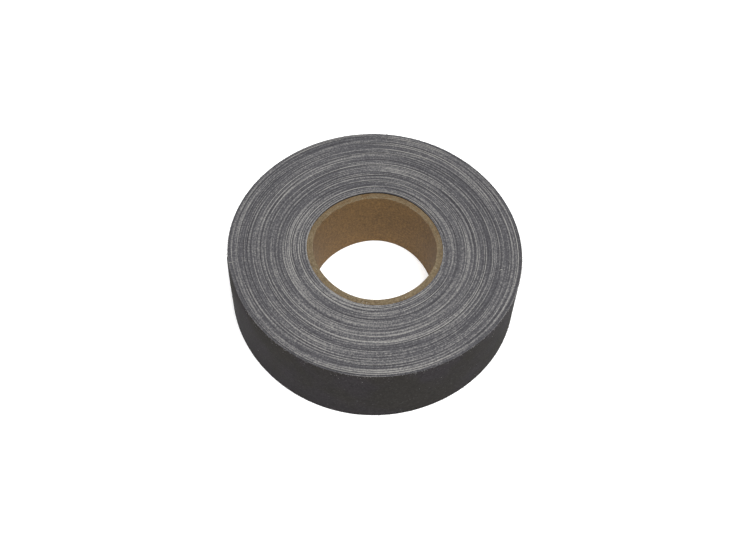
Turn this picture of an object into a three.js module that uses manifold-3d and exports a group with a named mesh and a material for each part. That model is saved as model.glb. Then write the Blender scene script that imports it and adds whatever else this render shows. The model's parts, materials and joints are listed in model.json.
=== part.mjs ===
// A roll of cloth grip tape on a spiral-wound paper core.
//
// The roll lies flat: +Z is the roll's axis and the origin is the middle of its lower face.
// The tape is one strip. Seen from above it runs anticlockwise from its free end into the roll,
// so each lap lies one tape thickness nearer the axis than the one outside it. The last lap and
// the free end are separate solids, because the free end peels away; every lap under them is one
// solid with the spiral's step in its outer wall. The paper core is five glued plies, each one
// strip whose edges meet at a slanting seam.

import * as THREE from "three";
import { mergeVertices } from "three/addons/utils/BufferGeometryUtils.js";
import Module from "manifold-3d";

// Driving dimensions, in millimetres.
const TAPE_WIDTH = 24;
const TAPE_THICKNESS = 0.28;
const ADHESIVE_THICKNESS = 0.07; // part of the tape's thickness, on its inward face
const LAPS = 87.5; // how many times the strip goes round the core
const CORE_BORE = 38;
const KRAFT_PLY = 0.3; // the smooth brown plies inside and outside the core
const BOARD_PLY = 0.4; // the grey-brown plies between them
const BOARD_PLIES = 3;
const PLY_STRIP_WIDTH = 60; // width of the paper strip that each ply is wound from
const SEAM_GAP = 0.5; // measured round the core
const FIRST_SEAM = THREE.MathUtils.degToRad(208); // where the liner's seam meets the lower face
const SEAM_SPACING = THREE.MathUtils.degToRad(137); // from one ply's seam to the next
const GLUE_GAP = 0.02; // left between solids that touch
const FREE_END_LENGTH = 20;
const FREE_END_ANGLE = THREE.MathUtils.degToRad(187); // where the tape is cut off
const ROOT_GAP = 0.06; // between the free end and the lap it grows from

const CORE_SIDES = 72;
const ROLL_SIDES = 120;
const SEAM_STEPS = 12; // along a seam, from one face of the roll to the other
const CUTTER_DEPTH = 2; // radially, so that a seam's cutter passes right through its ply
const CUTTER_OVERRUN = 1; // past each face of the roll
const TURN = 2 * Math.PI;

const coreRadius = CORE_BORE / 2 + 2 * KRAFT_PLY + BOARD_PLIES * BOARD_PLY;
const rollRadius = coreRadius + LAPS * TAPE_THICKNESS;
const freeEndTurn = FREE_END_LENGTH / rollRadius; // angle that the free end covers

const wasm = await Module();
wasm.setup();

const paint = (color, roughness) =>
  new THREE.MeshStandardMaterial({ color, roughness, metalness: 0 });
const materials = {
  kraft: paint(0x7a5f42, 0.8),
  board: paint(0x8c7c62, 0.9),
  tapeEdge: paint(0x6e6d70, 0.9),
  cloth: paint(0x3f3d3d, 0.85),
  adhesive: paint(0x5b5a5c, 0.6),
};

const polar = (radius, angle) =>
  new THREE.Vector2(radius * Math.cos(angle), radius * Math.sin(angle));

// Radius of the strip's outward face after it has gone the given angle in from its free end.
const outwardFace = (wound) => rollRadius - (TAPE_THICKNESS * wound) / TURN;

// Points of a curve whose radius depends on the angle wound in from the free end.
function woundCurve(radiusAt, from, to) {
  const steps = Math.max(1, Math.round(((to - from) / TURN) * ROLL_SIDES));
  return Array.from({ length: steps + 1 }, (_, i) => {
    const wound = from + ((to - from) * i) / steps;
    return polar(radiusAt(wound), FREE_END_ANGLE + wound);
  });
}

function circle(radius, sides) {
  return Array.from({ length: sides }, (_, i) => polar(radius, (TURN * i) / sides));
}

const raised = (shape) =>
  new THREE.ExtrudeGeometry(shape, { depth: TAPE_WIDTH, bevelEnabled: false });

// One layer of the tape's last lap, between two depths below its outward face.
function tapeLayer(from, to, outerDepth, innerDepth) {
  const outer = woundCurve((w) => outwardFace(w) - outerDepth, from, to);
  const inner = woundCurve((w) => outwardFace(w) - innerDepth, from, to);
  return raised(new THREE.Shape([...outer, ...inner.reverse()]));
}

// Every lap under the last one. Its outer wall steps out by one thickness under the free end.
function woundLaps() {
  const underLastLap = (w) => outwardFace(w) - TAPE_THICKNESS - GLUE_GAP;
  const shape = new THREE.Shape(woundCurve(underLastLap, 0, TURN));
  shape.holes.push(new THREE.Path(circle(coreRadius + GLUE_GAP, ROLL_SIDES)));
  return raised(shape);
}

function solid(geometry) {
  const bare = geometry.clone().deleteAttribute("normal").deleteAttribute("uv");
  const merged = mergeVertices(bare);
  return new wasm.Manifold(
    new wasm.Mesh({
      numProp: 3,
      vertProperties: merged.attributes.position.array,
      triVerts: new Uint32Array(merged.index.array),
    }),
  );
}

function geometryOf(manifold) {
  const mesh = manifold.getMesh();
  return new THREE.BufferGeometry()
    .setAttribute("position", new THREE.BufferAttribute(mesh.vertProperties, 3))
    .setIndex(new THREE.BufferAttribute(mesh.triVerts, 1));
}

// The slanting gap where the edges of a ply's strip meet: a thin box twisted round the axis.
function seamCutter(radius, startAngle) {
  const slant = Math.asin(PLY_STRIP_WIDTH / (TURN * radius)); // strip's rise round the core
  const pitch = TURN * radius * Math.tan(slant);
  const length = TAPE_WIDTH + 2 * CUTTER_OVERRUN;
  const box = new THREE.BoxGeometry(CUTTER_DEPTH, SEAM_GAP, length, 1, 1, SEAM_STEPS);
  box.translate(radius, 0, TAPE_WIDTH / 2);
  const at = box.attributes.position;
  const corner = new THREE.Vector3();
  const up = new THREE.Vector3(0, 0, 1);
  for (let i = 0; i < at.count; i++) {
    corner.fromBufferAttribute(at, i);
    corner.applyAxisAngle(up, startAngle + (TURN * corner.z) / pitch);
    at.setXYZ(i, corner.x, corner.y, corner.z);
  }
  return box;
}

// One ply of the core, from its inner radius outwards.
function ply(innerRadius, thickness, seamAngle) {
  const shape = new THREE.Shape(circle(innerRadius + thickness - GLUE_GAP, CORE_SIDES));
  shape.holes.push(new THREE.Path(circle(innerRadius, CORE_SIDES)));
  const cutter = seamCutter(innerRadius + thickness / 2, seamAngle);
  return geometryOf(solid(raised(shape)).subtract(solid(cutter)));
}

const roll = new THREE.Group();

function add(name, geometry, material) {
  const mesh = new THREE.Mesh(geometry, material);
  mesh.name = name;
  roll.add(mesh);
}

// The core, ply by ply from the bore outwards. Each seam is turned well away from the last.
const plies = [
  { name: "core_liner_ply", thickness: KRAFT_PLY, material: materials.kraft },
  ...Array.from({ length: BOARD_PLIES }, (_, i) => ({
    name: `core_board_ply_${i + 1}`,
    thickness: BOARD_PLY,
    material: materials.board,
  })),
  { name: "core_cover_ply", thickness: KRAFT_PLY, material: materials.kraft },
];
let plyRadius = CORE_BORE / 2;
plies.forEach(({ name, thickness, material }, i) => {
  add(name, ply(plyRadius, thickness, FIRST_SEAM + i * SEAM_SPACING), material);
  plyRadius += thickness;
});

// The tape: the wound laps, then the last lap and its free end in their two layers.
const clothDepth = TAPE_THICKNESS - ADHESIVE_THICKNESS - GLUE_GAP;
const rootGapTurn = ROOT_GAP / rollRadius;
add("tape_wound_laps", woundLaps(), materials.tapeEdge);
for (const [piece, from, to] of [
  ["outer_lap", freeEndTurn + rootGapTurn, TURN],
  ["free_end", 0, freeEndTurn],
]) {
  add(`tape_${piece}_cloth`, tapeLayer(from, to, 0, clothDepth), materials.cloth);
  add(
    `tape_${piece}_adhesive`,
    tapeLayer(from, to, clothDepth + GLUE_GAP, TAPE_THICKNESS),
    materials.adhesive,
  );
}

export default roll;
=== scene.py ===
"""The looks of the grip tape roll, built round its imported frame.

Lengths are in metres, in the frame's axes: +Z is the roll's axis and the floor is z = 0. The tape
is one strip. A place on it is given by how far it has wound in from its cut end, as an angle, and
by its depth from the strip's outward face, as a share of the tape's thickness.
"""

import json
import math

import bpy
import numpy as np
from mathutils import Matrix, Vector


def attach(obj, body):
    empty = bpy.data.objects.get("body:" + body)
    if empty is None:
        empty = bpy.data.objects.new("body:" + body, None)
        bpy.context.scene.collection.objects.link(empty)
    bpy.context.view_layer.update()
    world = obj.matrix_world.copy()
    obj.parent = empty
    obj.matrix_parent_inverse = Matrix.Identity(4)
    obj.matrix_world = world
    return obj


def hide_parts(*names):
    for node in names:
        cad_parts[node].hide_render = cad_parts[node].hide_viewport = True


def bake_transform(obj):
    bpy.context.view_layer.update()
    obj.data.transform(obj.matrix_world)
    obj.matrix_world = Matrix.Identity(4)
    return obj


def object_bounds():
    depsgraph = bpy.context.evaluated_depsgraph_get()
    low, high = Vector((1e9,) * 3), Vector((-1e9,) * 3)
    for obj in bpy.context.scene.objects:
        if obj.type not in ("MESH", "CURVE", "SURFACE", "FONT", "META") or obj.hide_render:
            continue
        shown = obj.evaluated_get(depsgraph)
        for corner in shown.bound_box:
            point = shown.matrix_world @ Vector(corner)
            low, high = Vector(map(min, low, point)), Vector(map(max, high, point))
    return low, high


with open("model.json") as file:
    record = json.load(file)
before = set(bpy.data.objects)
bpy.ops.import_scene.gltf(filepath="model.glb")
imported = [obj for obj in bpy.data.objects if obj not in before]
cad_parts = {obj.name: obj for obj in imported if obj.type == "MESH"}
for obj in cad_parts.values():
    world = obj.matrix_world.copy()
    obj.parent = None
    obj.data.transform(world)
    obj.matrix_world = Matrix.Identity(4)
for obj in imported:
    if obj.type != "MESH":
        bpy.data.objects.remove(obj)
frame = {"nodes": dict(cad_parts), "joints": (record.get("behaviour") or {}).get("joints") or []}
cad_low, cad_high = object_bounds()

MM = 0.001
TURN = 2 * math.pi


def wall_radii(node):
    """Inner and outer radius of a CAD ring."""
    reach = [vertex.co.xy.length for vertex in frame["nodes"][node].data.vertices]
    return min(reach), max(reach)


# Driving dimensions, the same as the CAD model's.
TAPE = 0.28 * MM  # thickness
ADHESIVE = 0.07 * MM  # part of the tape's thickness, on its inward face
GLUE_GAP = 0.02 * MM  # left between the core and the tape, and under the last lap
TIP_ANGLE = math.radians(187)  # where the tape is cut off
PLY_STRIP_WIDTH = 60 * MM  # of the paper strip that each ply is wound from
FIRST_SEAM = math.radians(208)  # where the liner's seam meets the lower face
SEAM_SPACING = math.radians(137)  # from one ply's seam to the next

# Dimensions of the looks alone.
START_ANGLE = math.radians(340)  # where the tape's other end is stuck to the core
SEAM_GAP = 0.35 * MM  # narrower than the CAD model's

PLIES = [
    "core_liner_ply",
    "core_board_ply_1",
    "core_board_ply_2",
    "core_board_ply_3",
    "core_cover_ply",
]

# Places, from the frame.
width = cad_high.z
hinge = Vector(frame["joints"][0]["pos_m"])
peel_turn = math.atan2(hinge.y, hinge.x) % TURN - TIP_ANGLE  # angle that the free end covers
roll_radius = math.hypot(hinge.x, hinge.y) + TAPE * peel_turn / TURN
bore_radius = wall_radii(PLIES[0])[0]
core_radius = wall_radii(PLIES[-1])[1] + GLUE_GAP


# ---------------------------------------------------------------- smooth noise


def eased(part):
    """Goes from 0 to 1 as part does, with a soft start and a soft end."""
    return part * part * (3 - 2 * part)


def wander(place, seed):
    """Smooth noise from -1 to 1 along a line, with one random value per unit of place."""
    count = 4096
    values = np.random.default_rng(seed).uniform(-1, 1, count)
    cell = np.floor(place).astype(int)
    part = eased(place - cell)
    return values[cell % count] * (1 - part) + values[(cell + 1) % count] * part


def wander_round(angle, across, bumps, seed):
    """Smooth noise from -1 to 1 that closes on itself round the roll.

    bumps is how many random values there are in a turn, and across is a second coordinate, with
    one random value per unit.
    """
    rows = 512
    values = np.random.default_rng(seed).uniform(-1, 1, (bumps, rows))
    place = (angle / TURN % 1) * bumps
    i = np.floor(place).astype(int)
    j = np.floor(across).astype(int)
    p = eased(place - i)
    q = eased(across - j)
    i2 = (i + 1) % bumps
    j2 = (j + 1) % rows
    i = i % bumps
    j = j % rows
    near = values[i, j] * (1 - p) + values[i2, j] * p
    far = values[i, j2] * (1 - p) + values[i2, j2] * p
    return near * (1 - q) + far * q


# ---------------------------------------------------------------- meshes


def add_mesh(name, points, faces, smooth_below=50):
    """A mesh object from points and faces, smooth except where faces meet at a sharp angle."""
    mesh = bpy.data.meshes.new(name)
    mesh.from_pydata(points.tolist(), [], faces)
    mesh.validate()
    mesh.shade_smooth()
    mesh.set_sharp_from_angle(angle=math.radians(smooth_below))
    piece = bpy.data.objects.new(name, mesh)
    bpy.context.scene.collection.objects.link(piece)
    return piece


def round_axis(reach, angle, height):
    """Points given by distance from the roll's axis, angle round it and height."""
    return np.stack([reach * np.cos(angle), reach * np.sin(angle), height], 1)


def tube_faces(columns, ring, flip=False):
    """Faces of a closed tube of rings of points, with a cap at each end, and each side face's row.

    columns is how many faces long it is, and ring is how many points each ring has.
    """
    near = np.repeat(np.arange(columns), ring) * ring
    far = near + ring
    row = np.tile(np.arange(ring), columns)
    after = (row + 1) % ring
    sides = np.stack([near + row, far + row, far + after, near + after], 1)
    caps = [list(range(ring)), [columns * ring + i for i in reversed(range(ring))]]
    if flip:
        sides = sides[:, [0, 3, 2, 1]]
        caps = [cap[::-1] for cap in caps]
    return sides.tolist() + caps, row


def store(piece, name, domain, values):
    """Stores a vector for each POINT, or for each face CORNER in the order of the faces."""
    attribute = piece.data.attributes.new(name, "FLOAT_VECTOR", domain)
    attribute.data.foreach_set("vector", np.asarray(values, np.float32).ravel())


def paint(piece, materials, chosen=None):
    """Gives a piece its materials, and each face the one that chosen numbers."""
    for material in materials:
        piece.data.materials.append(material)
    if chosen is not None:
        piece.data.polygons.foreach_set("material_index", np.asarray(chosen, np.int32))


# ---------------------------------------------------------------- the winding

# Where the first laps stand off the core.
BACK_GAP_ANGLE = math.radians(94)
BACK_GAP_SPREAD = math.radians(74)
BACK_GAP_FADE = 1.2 * MM  # how soon the gap closes, from the core outwards

# The stretch of upper rim that handling has rounded over.
WORN_START = math.radians(184)
WORN_END = math.radians(340)
WORN_RISE = math.radians(16)  # how soon the wear sets in from its start
WORN_FADE = math.radians(66)  # how soon it dies away towards its end
RIM_LEAN = 0.70 * MM  # how far the rim's upper edge leans inwards there
SHOULDER = 10  # power of the height that the last lap's lean follows

# Section of a lap's slit edge: depth as a share of the tape, and drop below the crest.
EDGE_SECTION = [(0.0, 0.085 * MM), (0.30, 0.0), (0.68, 0.005 * MM)]
EDGE_INSET = 0.09 * MM  # of the mean crest from the roll's face, so that no lap passes it by much
TIP_PRESSED = 0.12 * MM  # how much thinner the cloth is at its cut end, where the knife pressed

# Seeds of how the laps rise and fall on the two faces, the same for every piece of the tape.
TOP_SEED = 20
FOOT_SEED = 30


def outward_radius(wound):
    """Radius of the strip's outward face, in a true spiral."""
    return roll_radius - TAPE * wound / TURN


def strip_length(wound):
    """Length of tape from the cut end."""
    return wound * (roll_radius - TAPE * wound / (2 * TURN))


def share_out(radius):
    """How far out in the winding a radius is: 0 at the core and 1 at the outside."""
    return np.clip((radius - core_radius) / (roll_radius - core_radius), 0, 1)


def out_of_round(angle, radius):
    """How far the core and the winding stray outwards from true circles about the axis."""
    share = share_out(radius)
    off_centre = (0.32 - 0.16 * share) * np.cos(angle + 0.6)
    oval = 0.10 * np.cos(2 * angle + 0.7 + 0.9 * share)
    lobes = 0.12 * (1 - share) * np.cos(3 * angle + 2.87) + 0.16 * np.cos(4 * angle + 0.58)
    local = 0.16 * np.sqrt(share * (1 - share)) * wander_round(angle, radius / (4 * MM), 14, 11)
    return MM * (off_centre + oval + lobes + local + 0.18 * share)


def core_standoff(angle, radius):
    """Extra gap between the core and the first laps, which dies away within a few laps."""
    off = (angle - BACK_GAP_ANGLE + math.pi) % TURN - math.pi
    gap = (0.22 + 0.12 * np.cos(2 * off)) * MM
    fade = (off / BACK_GAP_SPREAD) ** 4 + (radius - core_radius) / BACK_GAP_FADE
    return gap * np.exp(-fade)


def worn(angle):
    """From 0 to 1: how worn the upper rim is, at an angle round the roll."""
    angle = angle % TURN
    rise = np.clip((angle - WORN_START) / WORN_RISE, 0, 1)
    fall = np.clip((WORN_END - angle) / WORN_FADE, 0, 1)
    return eased(rise) * eased(fall)


def rim_lean(angle, radius):
    """How far the upper edge of a lap leans inwards. Its foot doesn't."""
    return RIM_LEAN * worn(angle) * share_out(radius) ** 6


def lap_tone(wound):
    """Long light and dark stretches along the strip."""
    along = strip_length(wound)
    stretches = 0.9 * wander(along / (22 * MM), 1) + 0.4 * wander(along / (7 * MM), 2)
    return stretches + 0.6 * wander(along / (60 * MM), 3)


def streak(wound, angle, radius):
    """How light a lap's slit edge looks, from about -1 to 1.

    Each lap has its own light and dark stretches, and a few laps together drift. Beside a light lap
    on its inward side, a lap carries painted shade: the painted shadow of that lap, which stands a
    little over it. The outermost four are darker, most of all where the rim is worn. In front, the
    first lap and the one under the outermost four carry a painted highlight, as laps that stand a
    little over the rest would. The streaks' contrast is painted light and shade, strongest at the
    back and weakest at the sides, and the whole face is painted a little lighter in front.
    """
    laps_in = wound / TURN
    front = 0.5 - 0.5 * np.sin(angle)
    # The second term is painted shadow: a light lap on the inward side darkens this one.
    own = lap_tone(wound) - 0.45 * lap_tone(wound + TURN)
    # Painted light and shade: the laps' contrast follows how the light falls round the roll.
    contrast = 0.82 + 0.25 * np.sin(angle) + 0.33 * np.sin(angle) ** 2
    patch = 0.45 * wander_round(angle, radius / (0.9 * MM), 9, 4)
    # Painted highlight on the first lap, in front.
    pulled = 1.1 * front * np.exp(-(((radius - core_radius) / (0.35 * MM)) ** 2))
    # Painted highlight on the lap under the outermost four, in front.
    proud_highlight = 0.8 * front * np.exp(-(((laps_in - 4.8) / 0.5) ** 2))
    # Painted light: the face lighter in front and darker at the back.
    painted_front_light = -0.20 * np.sin(angle) - 0.04 * np.cos(angle) - 0.04
    darker_by_rim = (0.2 + 0.25 * worn(angle)) * np.exp(-((laps_in / 3.6) ** 4))
    return own * contrast + patch + pulled + proud_highlight + painted_front_light - darker_by_rim


def lap_rise(wound, angle, radius, seed):
    """How far a lap's edge stands above or below its neighbours."""
    along = strip_length(wound)
    own = 0.035 * wander(along / (15 * MM), seed) + 0.02 * wander(along / (60 * MM), seed + 1)
    patch = 0.035 * wander_round(angle, radius / (1.3 * MM), 11, seed + 2)
    return MM * (own + patch + 0.02 * streak(wound, angle, radius))


# ---------------------------------------------------------------- the laps under the last one

# They are one ribbon of quads that starts a turn in from the cut end. Each lap has the rows of
# EDGE_SECTION, and its inward face is the next lap's outward face.
COLUMNS = 180  # quads in a turn
STEP = TURN / COLUMNS
LAPS = 85 + (START_ANGLE - TIP_ANGLE) / TURN
QUADS = round(LAPS * COLUMNS)  # along the ribbon
ROWS = len(EDGE_SECTION)
RIBBON_START = TURN
RIBBON_END = RIBBON_START + QUADS * STEP


def ribbon_radius(wound, depth):
    """Spiral outside; next to the core, rings with a step over the strip's stuck end."""
    spiral = outward_radius(wound) - depth * TAPE - GLUE_GAP
    innermost = outward_radius(RIBBON_END) - TAPE
    turns_left = (RIBBON_END - wound) / TURN
    part = turns_left - np.floor(turns_left + 1e-6)
    return spiral - TAPE * part * np.exp(-(spiral - innermost) / (2.5 * MM))


def ribbon_corner(k, row):
    """Number of a point of the ribbon. The innermost turn's inward points are numbered last."""
    own = (QUADS + 1) * ROWS + k - (QUADS - COLUMNS + 1)
    inward = np.where(k + COLUMNS <= QUADS, (k + COLUMNS) * ROWS, own)
    return np.where(row < ROWS, k * ROWS + row, inward)


def ribbon_walls(per_face):
    """Quads of the winding's outside and inside. per_face is how many points each face has."""
    outside = [ribbon_corner(k, 0) for k in range(COLUMNS + 1)]
    outside += [ribbon_corner(0, row) for row in range(ROWS - 1, 0, -1)]
    inside = [ribbon_corner(QUADS, row) for row in range(ROWS)]
    inside += [ribbon_corner(k, ROWS) for k in range(QUADS, QUADS - COLUMNS, -1)]
    walls = []
    for loop in (outside, inside):
        here = np.array(loop)
        after = np.roll(here, -1)
        walls.append(np.stack([after, here, here + per_face, after + per_face], 1))
    return np.concatenate(walls)


def ribbon_edge(k, row):
    """What the slit-edge material reads at each quad's corners: length, depth and streak."""
    wound = RIBBON_START + np.stack([k, k + 1, k + 1, k], 1) * STEP
    depths = np.array([depth for depth, _ in EDGE_SECTION] + [1.0])
    depth = depths[np.stack([row, row, row + 1, row + 1], 1)]
    radius = outward_radius(wound) - depth * TAPE
    return np.stack([strip_length(wound), depth, streak(wound, TIP_ANGLE + wound, radius)], -1)


def ribbon_points():
    """Points of the upper and the lower face, and how far each has wound in."""
    along = RIBBON_START + np.arange(QUADS + 1) * STEP
    wound = np.concatenate([np.repeat(along, ROWS), along[-COLUMNS:]])
    section_depths, section_drops = zip(*EDGE_SECTION)
    depth = np.concatenate([np.tile(section_depths, QUADS + 1), np.ones(COLUMNS)])
    drop = np.concatenate([np.tile(section_drops, QUADS + 1), np.zeros(COLUMNS)])
    angle = TIP_ANGLE + wound
    radius = ribbon_radius(wound, depth)
    reach = radius + out_of_round(angle, radius) + core_standoff(angle, radius)
    rng = np.random.default_rng(5)
    rises = []
    for seed in (TOP_SEED, FOOT_SEED):
        crest = lap_rise(wound, angle, radius, seed) - drop - EDGE_INSET
        rises.append(crest + rng.normal(0, 0.006 * MM, len(wound)))
    upper = round_axis(reach - rim_lean(angle, radius), angle, width + rises[0])
    lower = round_axis(reach, angle, np.maximum(-rises[1], 0))
    return upper, lower, wound


def wound_laps():
    """Every lap under the last one, as one solid whose faces carry each lap's slit edge."""
    upper, lower, wound = ribbon_points()
    per_face = len(wound)
    k = np.repeat(np.arange(QUADS), ROWS)
    row = np.tile(np.arange(ROWS), QUADS)
    ahead = k + 1
    outward = [ribbon_corner(k, row), ribbon_corner(ahead, row)]
    inward = [ribbon_corner(ahead, row + 1), ribbon_corner(k, row + 1)]
    top = np.stack(outward + inward, 1)
    bottom = top[:, ::-1] + per_face
    walls = ribbon_walls(per_face)
    faces = np.concatenate([top, bottom, walls])
    piece = add_mesh("tape_laps", np.concatenate([upper, lower]), faces.tolist())

    edge = ribbon_edge(k, row)
    no_edge = np.zeros((len(walls), 4, 3))
    store(piece, "edge", "CORNER", np.concatenate([edge, edge[:, ::-1], no_edge]))
    at_top = np.stack([strip_length(wound), np.full(per_face, width), np.zeros(per_face)], 1)
    at_foot = at_top * [1, 0, 1]
    store(piece, "cloth", "POINT", np.concatenate([at_top, at_foot]))
    chosen = np.concatenate([np.zeros(len(top) + len(bottom)), np.ones(len(walls))])
    return piece, chosen


# ---------------------------------------------------------------- the last lap

WALL_ROWS = 17  # points up the outward face of the last lap


def strip_section():
    """Section of a layer of the last lap, from the foot of its outward face.

    Each point is a depth as a share of the layer, a height as a share of the tape's width, and a
    drop below the slit edge's crest.
    """
    drop = 0.05 * MM
    crest = (0.25, 0.75)
    section = [(0.0, height, drop) for height in np.linspace(0, 1, WALL_ROWS)]
    section += [(depth, 1.0, 0.0) for depth in crest]
    section += [(1.0, 1.0, drop), (1.0, 0.5, 0.0), (1.0, 0.0, drop)]
    section += [(depth, 0.0, 0.0) for depth in reversed(crest)]
    return section


def strip_piece(name, start, end, outer, inner, spacing, seed):
    """A layer of the last lap as a closed solid, between two depths in metres.

    start and end are how far in it is wound, and spacing is the length of its quads.
    """
    columns = max(2, round((end - start) * roll_radius / spacing))
    section = strip_section()
    ring = len(section)
    share, up, drop = np.tile(section, (columns + 1, 1)).T
    wound = np.repeat(np.linspace(start, end, columns + 1), ring)
    length = strip_length(wound)
    angle = TIP_ANGLE + wound
    depth = outer + share * (inner - outer)
    radius = outward_radius(wound) - depth
    if outer == 0:
        radius -= TIP_PRESSED * (1 - share) * np.exp(-length / (0.8 * MM))

    outward = share == 0
    slit = ((up == 0) | (up == 1)) & (share < 1)
    rng = np.random.default_rng(seed)
    loose = np.abs(rng.normal(0, 0.012 * MM, len(wound))) * slit
    ripple = 0.012 * MM * wander_round(angle, up * 5, 60, seed + 1)
    reach = radius + out_of_round(angle, radius) + (ripple + loose) * outward
    reach -= up ** SHOULDER * rim_lean(angle, radius)
    rise_top = lap_rise(wound, angle, radius, TOP_SEED) - EDGE_INSET - drop + loose
    rise_foot = lap_rise(wound, angle, radius, FOOT_SEED) - EDGE_INSET - drop
    height = np.maximum(up * (width + rise_top) - (1 - up) * rise_foot, 0)
    faces, row = tube_faces(columns, ring)
    piece = add_mesh(name, round_axis(reach, angle, height), faces, smooth_below=35)

    edge = np.stack([length, depth / TAPE, streak(wound, angle, radius)], 1)
    store(piece, "edge", "POINT", edge)
    store(piece, "cloth", "POINT", np.stack([length, height, np.zeros(len(wound))], 1))
    upper_edge = (row >= WALL_ROWS - 1) & (row < WALL_ROWS + 2)
    lower_edge = row >= ring - 3
    chosen = np.concatenate([upper_edge | lower_edge, [1, 1]]).astype(int)
    return piece, chosen


# ---------------------------------------------------------------- the core

BEVEL = 0.15 * MM  # how far the core's inner edges are rubbed away, most of all at the back
BURR = 0.13 * MM  # how far the blade pushed the liner's upper edge over the bore
BURR_WIDTH = 0.3 * MM  # how far into the core's wall the burr reaches
BURR_HEIGHT = 0.35 * MM  # how soon it dies away below the upper face
FRAYED = 1.2 * MM  # how soon a cut edge's roughness dies away from it
BLADE_DEPTH = 1.9 * MM  # below the upper face, where the slitting blade marked the liner
ACROSS_CUT = (0.2, 0.5, 0.8)  # points across a ply's cut edge, as shares of its thickness
CUT_ROUGHNESS = (0.06 * MM, 0.08 * MM, 0.06 * MM, 0.05 * MM, 0.12 * MM)  # of each ply in PLIES


def liner_rows():
    """Heights of the liner's wall rows, closest together by its cut edges and the blade's mark."""
    edge = [0, 0.12 * MM, 0.3 * MM, 0.7 * MM]
    mark = [width - BLADE_DEPTH + d * MM for d in (-0.22, -0.08, 0.0, 0.08, 0.22)]
    middle = list(np.linspace(2 * MM, width - BLADE_DEPTH - 1.2 * MM, 17))
    return edge + middle + mark + [width - e for e in reversed(edge)]


def plain_rows():
    """Heights of the other plies' wall rows."""
    middle = list(np.linspace(1.2 * MM, width - 1.2 * MM, 18))
    return [0, 0.2 * MM] + middle + [width - 0.2 * MM, width]


def ply_section(rows):
    """Section of a ply, from the foot of its inward wall.

    Each point is a share of the ply's thickness, a height, and 1 on the upper cut edge, -1 on the
    lower one or 0 on a wall.
    """
    section = [(0.0, height, 0) for height in rows]
    section += [(share, width, 1) for share in ACROSS_CUT]
    section += [(1.0, height, 0) for height in reversed(rows)]
    section += [(share, 0.0, -1) for share in reversed(ACROSS_CUT)]
    return section


def burr(angle, radius, level, torn, shag):
    """How far the blade pushed the core's wall over the bore: less at the back, and unevenly."""
    back = 0.5 + 0.5 * np.sin(angle)
    by_bore = np.clip(1 - (radius - bore_radius) / BURR_WIDTH, 0, 1)
    from_top = np.exp(-(width - level) / BURR_HEIGHT)
    rough = back * (0.35 * torn + 0.30 * shag) + 0.12 * shag
    return BURR * by_bore * from_top * np.clip(1 - 0.62 * back + rough, 0, 1.6)


def core_ply(name, inner, outer, seam, rows, ragged, seed):
    """One ply of the core: a ring whose ends meet at a slanting seam.

    rows are the heights of its walls' points, and ragged is how rough its cut edges are.
    """
    columns = 300
    middle = (inner + outer) / 2
    slant = math.asin(PLY_STRIP_WIDTH / (TURN * middle))
    pitch = TURN * middle * math.tan(slant)
    open_turn = SEAM_GAP / middle
    section = ply_section(rows)
    ring = len(section)
    share, level, side = np.tile(section, (columns + 1, 1)).T
    part = np.repeat(np.linspace(0, 1, columns + 1), ring)
    angle = seam + TURN * level / pitch + open_turn / 2 + part * (TURN - open_turn)
    radius = inner + share * (outer - inner)

    rng = np.random.default_rng(seed)
    shag = wander_round(angle, share * 3 + side * 7, 170, seed)
    shag = shag + 0.6 * rng.uniform(-1, 1, len(part))
    torn = wander_round(angle, np.zeros_like(angle), 46, 90)
    bite = ragged * np.clip(0.6 + 0.4 * shag, -0.1, 1.5)
    rubbed = BEVEL * np.clip(0.35 + 0.85 * np.sin(angle) + 0.30 * torn, 0.04, 1.2)
    bevel = 1.2 * np.clip(bore_radius + rubbed - radius, 0, rubbed) * (1 + 0.15 * shag)
    upper = level > width / 2
    near_edge = np.exp(-np.minimum(level, width - level) / FRAYED)
    drop = near_edge * (bite + bevel) * np.where(upper, 1, 0.4)
    height = np.where(upper, level - drop, level + drop)
    bow = 0.03 * MM * wander_round(angle, level / (9 * MM), 12, seed + 2)
    reach = radius + out_of_round(angle, radius) + bow - burr(angle, radius, level, torn, shag)
    faces, row = tube_faces(columns, ring, flip=True)
    piece = add_mesh(name, round_axis(reach, angle, height), faces, smooth_below=35)

    store(piece, "paper", "POINT", np.stack([angle * radius, height, share], 1))
    cut = len(ACROSS_CUT) + 1
    upper_cut = (row >= len(rows) - 1) & (row < len(rows) - 1 + cut)
    lower_cut = row >= ring - cut
    chosen = np.concatenate([upper_cut | lower_cut, [1, 1]]).astype(int)
    return piece, chosen


# ---------------------------------------------------------------- materials


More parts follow.
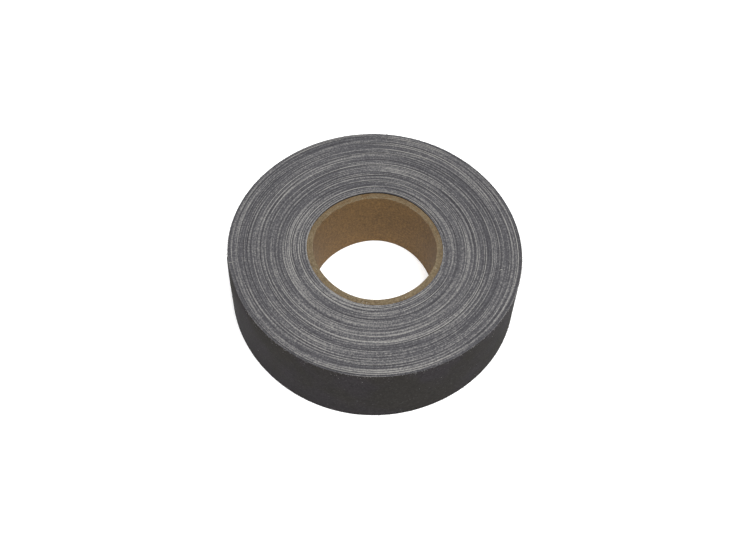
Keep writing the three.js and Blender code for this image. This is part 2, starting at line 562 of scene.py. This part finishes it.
class Shader:
    """A material's nodes, made by calls that each give an output to feed to the next."""

    def __init__(self, name):
        self.material = bpy.data.materials.new(name)
        self.material.use_nodes = True
        self.tree = self.material.node_tree
        self.tree.nodes.clear()

    def feed(self, made, key, value):
        """Links an output to a node's input, or sets the input to a plain value."""
        if isinstance(value, bpy.types.NodeSocket):
            self.tree.links.new(value, made.inputs[key])
        else:
            made.inputs[key].default_value = value

    def node(self, kind, inputs, output=0, **settings):
        made = self.tree.nodes.new("ShaderNode" + kind)
        for name, value in settings.items():
            setattr(made, name, value)
        for key, value in inputs.items():
            self.feed(made, key, value)
        return made.outputs[output]

    def calc(self, operation, a, b=0.0, c=0.0):
        return self.node("Math", {0: a, 1: b, 2: c}, operation=operation)

    def total(self, start, *terms):
        """start plus each term, which is an output and its weight."""
        value = start
        for output, weight in terms:
            value = self.calc("MULTIPLY_ADD", output, weight, value)
        return value

    def scaled(self, vector, scale):
        return self.node("VectorMath", {0: vector, 1: scale}, operation="MULTIPLY")

    def parts(self, vector):
        split = self.tree.nodes.new("ShaderNodeSeparateXYZ")
        self.tree.links.new(vector, split.inputs[0])
        return split.outputs

    def joined(self, x, y, z):
        return self.node("CombineXYZ", {0: x, 1: y, 2: z})

    def attribute(self, name):
        return self.node("Attribute", {}, output=1, attribute_name=name)

    def place(self):
        """Place in the object's own axes."""
        return self.node("TexCoord", {}, output=3)

    def noise(self, vector, scale, detail=2.0, roughness=0.5):
        inputs = {"Vector": vector, "Scale": scale, "Detail": detail, "Roughness": roughness}
        return self.node("TexNoise", inputs)

    def between(self, value, low, high, out_low=0.0, out_high=1.0):
        """Maps low..high to out_low..out_high, smoothly and clamped."""
        inputs = {0: value, 1: low, 2: high, 3: out_low, 4: out_high}
        return self.node("MapRange", inputs, interpolation_type="SMOOTHSTEP")

    def ramp(self, factor, stops):
        """Colours at places from 0 to 1."""
        made = self.tree.nodes.new("ShaderNodeValToRGB")
        elements = made.color_ramp.elements
        while len(elements) < len(stops):
            elements.new(0.5)
        for element, (place, colour) in zip(elements, stops):
            element.position = place
            element.color = (*colour, 1)
        self.tree.links.new(factor, made.inputs[0])
        return made.outputs[0]

    def mix(self, factor, a, b):
        """Colour a where the factor is 0, and b where it is 1."""
        made = self.tree.nodes.new("ShaderNodeMix")
        made.data_type = "RGBA"
        for key, value in ((0, factor), (6, a), (7, b)):
            plain_colour = isinstance(value, tuple)
            self.feed(made, key, (*value, 1) if plain_colour else value)
        return made.outputs[2]

    def shade(self, colour, factor):
        """The colour made lighter or darker by a factor."""
        return self.node("VectorMath", {0: colour, "Scale": factor}, operation="SCALE")

    def bump(self, height, distance, strength):
        return self.node("Bump", {"Height": height, "Distance": distance, "Strength": strength})

    def surface(self, colour, roughness, normal=None, sheen=0.0, specular=0.3, glow=0.0):
        """The finished material."""
        inputs = {
            "Base Color": colour,
            "Roughness": roughness,
            "Specular IOR Level": specular,
            "Sheen Weight": sheen,
            "Sheen Roughness": 0.6,
            "Emission Color": (1, 1, 1, 1),
            "Emission Strength": glow,
        }
        if normal is not None:
            inputs["Normal"] = normal
        end = self.tree.nodes.new("ShaderNodeOutputMaterial")
        self.tree.links.new(self.node("BsdfPrincipled", inputs), end.inputs[0])
        return self.material


# Linear colours.
COTTON_DARK = (0.034, 0.033, 0.037)
COTTON_MID = (0.090, 0.088, 0.095)
COTTON_LIGHT = (0.310, 0.302, 0.286)
COAT = (0.0225, 0.0200, 0.0217)
COAT_WARM = (0.0208, 0.0189, 0.0172)
DUST = (0.085, 0.083, 0.085)
GLUE = (0.055, 0.054, 0.058)
KRAFT = (0.168, 0.0940, 0.0300)
KRAFT_DARK = (0.140, 0.080, 0.036)
BOARD = (0.151, 0.119, 0.0745)
KRAFT_EDGE = (0.149, 0.113, 0.068)
RUST = (0.113, 0.064, 0.027)
GREY_FIBRE = (0.19, 0.186, 0.182)
PALE_FIBRE = (0.42, 0.41, 0.38)
FLOOR = (0.93, 0.93, 0.93)

THREAD_PITCH = 0.42 * MM  # from one thread of the cloth to the next but one
FIBRE_SLOPE = 0.57  # how steeply the kraft paper's fibres climb round the core


def plain_weave(s, along, up):
    """From -1 to 1: how the cloth's threads rise and sink, over and under one another."""
    warp = s.calc("SINE", s.calc("MULTIPLY", up, TURN / THREAD_PITCH))
    weft = s.calc("SINE", s.calc("MULTIPLY", along, TURN / THREAD_PITCH))
    return s.calc("MULTIPLY", warp, weft)


def slit_edge_material():
    """Slit edges of the tape: a dark coat, pale cotton and grey adhesive in each lap's thickness."""
    s = Shader("tape_slit_edge")
    edge = s.attribute("edge")
    _, depth, light = s.parts(edge)
    threads = s.noise(s.scaled(edge, (2400, 1.5, 0)), 1.0, 1.0)
    fuzz = s.noise(s.place(), 2000, 2.0, 0.7)
    smear = s.noise(s.place(), 900, 2.0)
    # light is the streak: each lap's own tone, with painted shade and painted highlights on it.
    tone = s.total(-0.4, (light, 0.32), (threads, 0.3), (smear, 0.3), (fuzz, 1.2))
    cotton = s.ramp(tone, [(0.0, COTTON_DARK), (0.5, COTTON_MID), (1.0, COTTON_LIGHT)])
    in_coat = s.between(depth, 0.05, 0.20, 0.4, 0.0)
    in_glue = s.between(depth, 0.70, 0.84, 0.0, 0.55)
    colour = s.mix(in_glue, s.mix(in_coat, cotton, COAT), GLUE)
    normal = s.bump(s.total(fuzz, (threads, 0.7)), 0.06 * MM, 0.8)
    return s.surface(colour, 0.92, normal, sheen=0.05, specular=0.15)


def cloth_material():
    """The tape's outward face: matt charcoal coating over a fine plain weave."""
    s = Shader("tape_coated_cloth")
    flat = s.attribute("cloth")
    along, up, _ = s.parts(flat)
    weave = plain_weave(s, along, up)
    slub = s.noise(s.scaled(flat, (90, 900, 1)), 1.0, 2.0)
    grain = s.noise(s.place(), 1300, 3.0, 0.75)
    cloud = s.noise(s.place(), 90, 3.0)
    by_rim = s.between(up, width - 7 * MM, width)
    tone = s.total(-0.12, (weave, 0.05), (slub, 0.14), (grain, 1.8), (cloud, 0.3), (by_rim, 0.16))
    warmth = s.between(s.noise(s.place(), 60, 2.0), 0.40, 0.60)
    dust = s.between(s.noise(s.place(), 1900, 0.0), 0.70, 0.82, 0.0, 0.25)
    colour = s.mix(dust, s.shade(s.mix(warmth, COAT, COAT_WARM), tone), DUST)
    relief = s.total(slub, (weave, 0.35), (grain, 1.0))
    normal = s.bump(relief, 0.035 * MM, 0.7)
    return s.surface(colour, s.total(0.75, (grain, 0.2)), normal, specular=0.08)


def adhesive_material():
    """The tape's inward face: grey adhesive with the weave in it, marked by having been pulled off.

    It has streaks along the tape, chatter lines across it, and patches where the cotton shows.
    """
    s = Shader("tape_adhesive")
    flat = s.attribute("cloth")
    along, up, _ = s.parts(flat)
    weave = plain_weave(s, along, up)
    blotch = s.noise(s.place(), 420, 3.0)
    pulled = s.noise(s.scaled(flat, (260, 1500, 1)), 1.0, 3.0, 0.7)
    chatter = s.noise(s.scaled(flat, (1100, 50, 1)), 1.0, 2.0)
    tone = s.total(-1.9, (weave, 0.12), (blotch, 2.2), (pulled, 2.0), (chatter, 1.8))
    bare = s.between(s.total(blotch, (chatter, 0.3)), 0.72, 0.80, 0.0, 0.5)
    colour = s.mix(bare, s.shade(GLUE, tone), COTTON_MID)
    relief = s.total(blotch, (weave, 0.3), (pulled, 1.0), (chatter, 1.5))
    normal = s.bump(relief, 0.12 * MM, 0.9)
    return s.surface(colour, s.total(0.15, (blotch, 0.6)), normal, specular=0.5)


def kraft_material():
    """Smooth brown kraft paper, with fibres that lie along the ply's strip."""
    s = Shader("core_kraft")
    round_core, up, _ = s.parts(s.attribute("paper"))
    across_strip = s.total(up, (round_core, -FIBRE_SLOPE))
    strip_place = s.joined(across_strip, round_core, 0.0)
    fibre = s.noise(s.scaled(strip_place, (5000, 900, 1)), 1.0, 2.0)
    grain = s.noise(s.place(), 1500, 3.0, 0.7)
    cloud = s.noise(s.place(), 160, 3.0)
    tone = s.total(-0.32, (fibre, 0.14), (grain, 2.3), (cloud, 0.12))
    speck = s.between(s.noise(s.place(), 1100, 1.0), 0.66, 0.74, 0.0, 0.35)
    colour = s.mix(speck, s.shade(KRAFT, tone), KRAFT_DARK)

    # The blade's mark, on the side of the core where x is positive.
    off_mark = s.calc("ABSOLUTE", s.calc("SUBTRACT", up, width - BLADE_DEPTH))
    mark = s.between(off_mark, 0.05 * MM, 0.22 * MM, 0.45, 0.0)
    marked_side = s.between(s.parts(s.place())[0], 4 * MM, 12 * MM)
    colour = s.mix(s.calc("MULTIPLY", mark, marked_side), colour, KRAFT_DARK)
    normal = s.bump(s.total(fibre, (grain, 1.0)), 0.03 * MM, 0.6)
    return s.surface(colour, 0.72, normal, specular=0.3)


def cut_edge_material(name, light):
    """Cut edge of paper plies: ragged pale fibres, with rusty flecks most of all at the back."""
    s = Shader(name)
    round_core, _, across = s.parts(s.attribute("paper"))
    place = s.place()
    fibre = s.noise(place, 1900, 3.0, 0.75)
    layer = s.noise(s.joined(s.calc("MULTIPLY", round_core, 2200), across, 7.0), 1.0, 1.0)
    blotch = s.noise(place, 420, 2.0)
    tone = s.total(-0.77, (fibre, 2.5), (layer, 0.8), (blotch, 0.30))
    cut_place = s.joined(s.calc("MULTIPLY", round_core, 2300), s.total(0.3, (across, 0.9)), 0.5)
    fleck = s.noise(cut_place, 1.0, 0.0)
    patchy = s.between(blotch, 0.42, 0.60, 0.0, 0.10)
    rust = s.between(s.calc("ADD", fleck, patchy), 0.58, 0.60, 0.0, 0.95)
    at_back = s.between(s.parts(place)[1], -6 * MM, 14 * MM, 0.3, 1.0)
    colour = s.mix(s.calc("MULTIPLY", rust, at_back), s.shade(light, tone), RUST)
    normal = s.bump(s.total(fibre, (layer, 1.0)), 0.10 * MM, 0.9)
    return s.surface(colour, 0.95, normal, specular=0.15)


def thread_material(name, tint):
    """Loose cotton fibres."""
    s = Shader(name)
    strand = s.noise(s.place(), 3500, 2.0)
    colour = s.shade(tint, s.total(0.6, (strand, 0.8)))
    return s.surface(colour, 0.9, s.bump(strand, 0.01 * MM, 0.5), sheen=0.1, specular=0.2)


def floor_material():
    """A plain pale table top, lit a little from below."""
    s = Shader("studio_floor")
    cloud = s.noise(s.place(), 3.0, 2.0)
    colour = s.shade(FLOOR, s.total(0.995, (cloud, 0.01)))
    return s.surface(colour, 0.9, specular=0.1, glow=0.32)


# ---------------------------------------------------------------- loose fibres

FIBRE_SIDES = 3


def fibre_mesh(name, paths, radii):
    """Thin closed tubes along paths, which all have the same number of points."""
    points, faces = [], []
    for path, radius in zip(paths, radii):
        base = len(points)
        last = len(path) - 1
        for i, p in enumerate(path):
            ahead = Vector(path[min(i + 1, last)]) - Vector(path[max(i - 1, 0)])
            side = ahead.orthogonal().normalized()
            other = ahead.normalized().cross(side)
            thick = radius * (0.55 if i in (0, last) else 1.0)
            for corner in range(FIBRE_SIDES):
                turn = TURN * corner / FIBRE_SIDES
                points.append(Vector(p) + thick * (math.cos(turn) * side + math.sin(turn) * other))
        for i in range(last):
            ring = base + FIBRE_SIDES * i
            for corner in range(FIBRE_SIDES):
                a = ring + corner
                b = ring + (corner + 1) % FIBRE_SIDES
                faces.append((a, b, b + FIBRE_SIDES, a + FIBRE_SIDES))
        end = base + FIBRE_SIDES * last
        faces.append([base + corner for corner in reversed(range(FIBRE_SIDES))])
        faces.append([end + corner for corner in range(FIBRE_SIDES)])
    return add_mesh(name, np.array([tuple(p) for p in points]), faces, smooth_below=80)


def fray(name, count, seed, edge, side, start, end):
    """Short cotton fibres that stand out of the slit edges along a rim, a third of them below it.

    edge is the rim's radius, and side is 1 where the fibres lean outwards and -1 inwards.
    """
    rng = np.random.default_rng(seed)
    paths, radii = [], []
    for i in range(count):
        angle = rng.uniform(start, end)
        top = i % 3 != 0
        inset = abs(rng.normal(0, 0.25)) * MM
        reach = edge - side * (0.1 * MM + inset)
        lean = float(rim_lean(angle, reach)) if top else 0
        reach += float(out_of_round(angle, reach)) - lean
        outward = Vector((math.cos(angle), math.sin(angle), 0))
        away = outward * side
        along = Vector((-away.y, away.x, 0))
        up = Vector((0, 0, 1 if top else -1))
        root = outward * reach + Vector((0, 0, width if top else 0)) - up * 0.22 * MM
        way = along * rng.normal(0, 1) + away * rng.uniform(0.0, 0.8)
        way += up * rng.uniform(0.2, 0.7)
        curl = along * rng.normal(0, 0.5) + away * rng.normal(0, 0.3)
        curl -= up * rng.uniform(0, 0.5)
        length = rng.uniform(0.25, 0.8) * MM
        way = way.normalized() * length
        curl = curl * length * 0.5
        path = [root + way * t + curl * t * t for t in np.linspace(0, 1, 5)]
        if not top:
            path = [Vector((p.x, p.y, max(p.z, 0.06 * MM))) for p in path]
        paths.append(path)
        radii.append(rng.uniform(0.022, 0.060) * MM)
    return fibre_mesh(name, paths, radii)


def side_lint(count, seed):
    """Specks of cotton dust on the roll's side, most of them just under its upper edge."""
    rng = np.random.default_rng(seed)
    paths, radii = [], []
    for _ in range(count):
        wound = rng.uniform(peel_turn + 0.01, TURN)
        angle = TIP_ANGLE + wound
        if rng.uniform() < 0.85:
            below = rng.exponential(0.7) * MM
        else:
            below = rng.uniform(0, 1) * width
        height = float(np.clip(width - 0.25 * MM - below, 0.6 * MM, width))
        reach = outward_radius(wound)
        lean = float(rim_lean(angle, reach)) * (height / width) ** SHOULDER
        reach += float(out_of_round(angle, reach)) - lean + 0.01 * MM
        outward = Vector((math.cos(angle), math.sin(angle), 0))
        along = Vector((-outward.y, outward.x, 0))
        turn = rng.uniform(0, math.pi)
        heading = along * math.cos(turn) + Vector((0, 0, math.sin(turn)))
        speck = heading * rng.uniform(0.12, 0.5) * MM
        middle = outward * reach + Vector((0, 0, height))
        lift = outward * rng.uniform(0.02, 0.12) * MM
        path = [middle + speck * t + lift * (1 - 4 * t * t) for t in (-0.5, -0.2, 0.2, 0.5)]
        paths.append(path)
        radii.append(rng.uniform(0.018, 0.040) * MM)
    return fibre_mesh("side_lint", paths, radii)


def lint(name, angle, reach, height, length, heading, bend, radius):
    """One longer fibre lying on the roll. heading is from outwards, and bend is its sideways bow."""
    outward = Vector((math.cos(angle), math.sin(angle), 0))
    along = Vector((-outward.y, outward.x, 0))
    forward = outward * math.cos(heading) + along * math.sin(heading)
    side = Vector((0, 0, 1)).cross(forward)
    path = []
    for t in np.linspace(-0.5, 0.5, 9):
        arch = 0.25 - t * t
        p = outward * reach + forward * length * t + side * bend * arch
        path.append(p + Vector((0, 0, height + 0.25 * length * arch)))
    return fibre_mesh(name, [path], [radius])


def core_lint(count, seed):
    """Small fibres lying on the front of the core's cut edge."""
    rng = np.random.default_rng(seed)
    specks = []
    for index in range(count):
        angle = rng.uniform(math.radians(185), math.radians(340))
        reach = core_radius - rng.uniform(0.2, 1.2) * MM
        reach += float(out_of_round(angle, reach))
        length = rng.uniform(0.3, 0.6) * MM
        bend = rng.uniform(-0.1, 0.1) * MM
        heading = rng.uniform(-0.7, 0.7)
        height = width - 0.04 * MM
        name = f"core_lint_{index}"
        specks.append(lint(name, angle, reach, height, length, heading, bend, radius=0.05 * MM))
    return specks


# ---------------------------------------------------------------- assembly

slit_edge = slit_edge_material()
cloth = cloth_material()
adhesive = adhesive_material()
kraft = kraft_material()
board = cut_edge_material("core_board_edge", BOARD)
kraft_edge = cut_edge_material("core_kraft_edge", KRAFT_EDGE)
grey_fibre = thread_material("grey_fibre", GREY_FIBRE)
pale_fibre = thread_material("pale_fibre", PALE_FIBRE)


def build_core():
    for index, node in enumerate(PLIES):
        inner, outer = wall_radii(node)
        paper = node in (PLIES[0], PLIES[-1])
        rows = liner_rows() if index == 0 else plain_rows()
        seam = FIRST_SEAM + index * SEAM_SPACING
        name = node.replace("_ply", "")
        seed = 40 + 5 * index
        piece, chosen = core_ply(name, inner, outer, seam, rows, CUT_ROUGHNESS[index], seed)
        cut_edge = kraft_edge if node == PLIES[-1] else board
        paint(piece, [kraft if paper else board, cut_edge], chosen)
        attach(piece, "roll")
        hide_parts(node)


def build_laps():
    laps, chosen = wound_laps()
    paint(laps, [slit_edge, cloth], chosen)
    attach(laps, "roll")
    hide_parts("tape_wound_laps")


def build_last_lap():
    """The last lap and the free end: a layer of cloth, and one of adhesive under it."""
    layers = [
        ("cloth", 0.0, TAPE - ADHESIVE, cloth, slit_edge),
        ("adhesive", TAPE - ADHESIVE, TAPE, adhesive, adhesive),
    ]
    for layer, outer, inner, face, edge in layers:
        last, chosen = strip_piece(
            f"last_lap_{layer}", peel_turn, TURN, outer, inner, spacing=0.9 * MM, seed=60
        )
        paint(last, [face, edge], chosen)
        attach(last, "roll")
        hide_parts(f"tape_outer_lap_{layer}")
        end, chosen = strip_piece(
            f"free_end_{layer}", 0.0, peel_turn, outer, inner, spacing=0.15 * MM, seed=70
        )
        paint(end, [face, edge], chosen)
        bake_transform(end)
        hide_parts(f"tape_free_end_{layer}")


def build_fibres():
    # The rim's fibres stop where the free end starts, because they don't ride on it.
    rim_start = TIP_ANGLE + peel_turn
    rim_end = TIP_ANGLE + TURN
    core_start = math.radians(160)
    core_end = math.radians(370)
    grey = [
        fray("rim_fray", 520, 80, roll_radius, 1, rim_start, rim_end),
        fray("core_fray", 200, 83, core_radius, -1, core_start, core_end),
        side_lint(230, 81),
    ]
    loose_thread = lint(
        "loose_thread",
        angle=math.radians(190),
        reach=roll_radius - 1.35 * MM,
        height=width + 0.02 * MM,
        length=1.6 * MM,
        heading=0.1,
        bend=0.25 * MM,
        radius=0.07 * MM,
    )
    lint_fibre = lint(
        "lint_fibre",
        angle=math.radians(350),
        reach=39.4 * MM,
        height=width + 0.02 * MM,
        length=0.9 * MM,
        heading=0.5,
        bend=0.5 * MM,
        radius=0.06 * MM,
    )
    pale = [loose_thread, lint_fibre] + core_lint(7, 82)
    for pieces, material in ((grey, grey_fibre), (pale, pale_fibre)):
        for piece in pieces:
            paint(piece, [material])
            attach(piece, "roll")


FLOOR_RADIUS = 6.0


def build_floor():
    """A pale disc under the roll."""
    turns = np.linspace(0, TURN, 96, endpoint=False)
    points = round_axis(FLOOR_RADIUS, turns, np.full(len(turns), -0.05 * MM))
    floor = add_mesh("floor", points, [list(range(len(points)))])
    paint(floor, [floor_material()])


# The camera looks at the middle of the roll's upper face, from in front and above.
CAMERA_DISTANCE = 0.3415
CAMERA_ELEVATION = math.radians(55.66)
CAMERA_PAN = math.radians(-0.086)  # small turns away from that aim
CAMERA_TILT = math.radians(-1.453)
CAMERA_ROLL = math.radians(-2.162)
LENS = 53.18  # millimetres, as the sensor's width is
SENSOR = 36.0


def build_camera():
    data = bpy.data.cameras.new("camera")
    data.lens = LENS
    data.sensor_width = SENSOR
    data.clip_start = 0.01
    camera = bpy.data.objects.new("camera", data)
    bpy.context.scene.collection.objects.link(camera)
    back = Vector((0, -math.cos(CAMERA_ELEVATION), math.sin(CAMERA_ELEVATION)))
    right = Vector((1, 0, 0))
    up = back.cross(right)
    aim = Matrix((right, up, back)).transposed().to_4x4()
    aim = aim @ Matrix.Rotation(CAMERA_PAN, 4, "Y") @ Matrix.Rotation(CAMERA_TILT, 4, "X")
    aim = aim @ Matrix.Rotation(-CAMERA_ROLL, 4, "Z")
    place = Vector((0, 0, width)) + back * CAMERA_DISTANCE
    camera.matrix_world = Matrix.Translation(place) @ aim
    bpy.context.scene.camera = camera


# Square softboxes aimed at the roll: name, side, place and power in watts.
SOFTBOXES = [
    ("overhead", 0.7, (0.11, -0.15, 1.2), 17.4),
    ("right", 0.6, (1.0, -0.5, 0.6), 3.6),
    ("front", 0.6, (0.15, -1.0, 0.45), 1.3),
    ("left", 0.6, (-0.8, -0.7, 0.35), 2.7),
]
ROOM_LIGHT = 0.27


def add_softbox(name, side, place, power):
    data = bpy.data.lights.new(name, "AREA")
    data.shape = "SQUARE"
    data.size = side
    data.energy = power
    light = bpy.data.objects.new(name, data)
    light.location = place
    aim = Vector((0, 0, width)) - Vector(place)
    light.rotation_euler = aim.to_track_quat("-Z", "Y").to_euler()
    bpy.context.scene.collection.objects.link(light)


def build_lights():
    world = bpy.data.worlds.new("studio")
    world.use_nodes = True
    background = world.node_tree.nodes["Background"]
    background.inputs[0].default_value = (1, 1, 1, 1)
    background.inputs[1].default_value = ROOM_LIGHT
    bpy.context.scene.world = world
    for name, side, place, power in SOFTBOXES:
        add_softbox(name, side, place, power)
    bpy.context.scene.view_settings.view_transform = "Standard"


build_camera()
build_core()
build_laps()
build_last_lap()
build_fibres()
build_floor()
build_lights()
